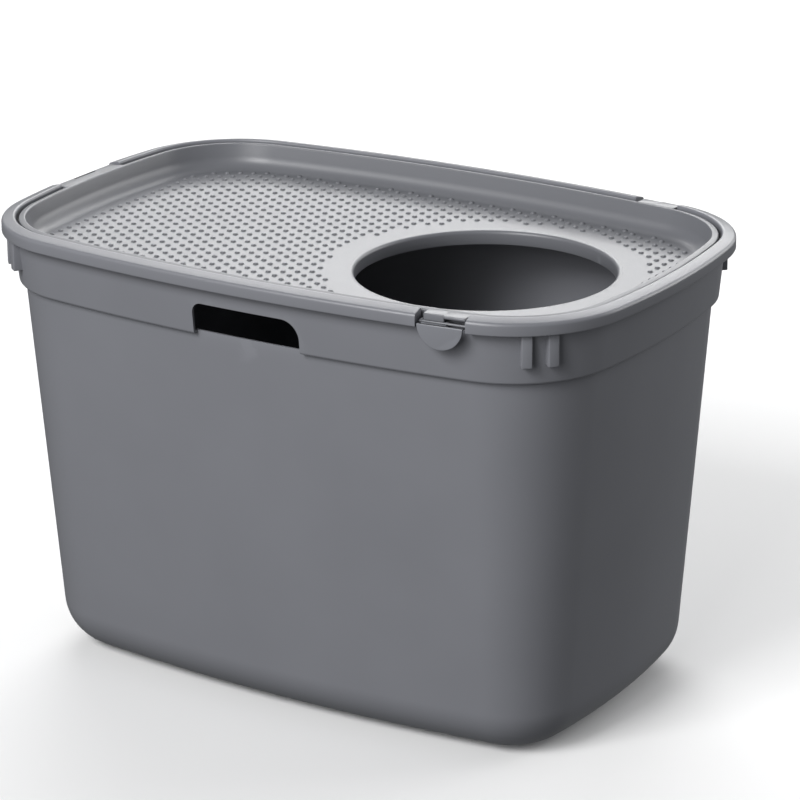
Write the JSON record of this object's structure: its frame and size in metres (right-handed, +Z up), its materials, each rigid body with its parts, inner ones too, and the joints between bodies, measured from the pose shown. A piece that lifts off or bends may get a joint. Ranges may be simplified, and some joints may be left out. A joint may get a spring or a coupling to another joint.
{
  "type": "top entry litter box",
  "caption": "Deep grey plastic litter box with a hinged, studded tray lid, a round top entry hole, two side latches and a handhold on each long side.",
  "frame": {"origin": "centre of the footprint on the ground, under the middle of the box", "axes": "+X along the length towards the entry hole, -X the hinge end, -Y the long side shown in front, +Z up"},
  "size_m": [0.5899, 0.388, 0.386],
  "materials": {
    "body_plastic": "satin",
    "lid_plastic": "satin",
    "latch_plastic": "satin",
    "rod_plastic": "satin"
  },
  "bodies": {
    "box": {"tub": "body_plastic", "hinge_rod": "rod_plastic"},
    "cover": {"lid": "lid_plastic"},
    "front_latch": {"latch_front": "latch_plastic"},
    "rear_latch": {"latch_rear": "latch_plastic"}
  },
  "joints": [
    {"name": "lid_hinge", "type": "hinge", "parent": "box", "child": "cover", "pos_m": [-0.288, 0, 0.38], "axis": [0, -1, 0], "range_deg": [0, 105]},
    {"name": "front_latch_pivot", "type": "hinge", "parent": "cover", "child": "front_latch", "pos_m": [0.18223, -0.17683, 0.3772], "axis": [-0.9934, -0.1145, 0], "range_deg": [0, 45]},
    {"name": "rear_latch_pivot", "type": "hinge", "parent": "cover", "child": "rear_latch", "pos_m": [0.18223, 0.17683, 0.3772], "axis": [0.9934, -0.1145, 0], "range_deg": [0, 45]}
  ]
}
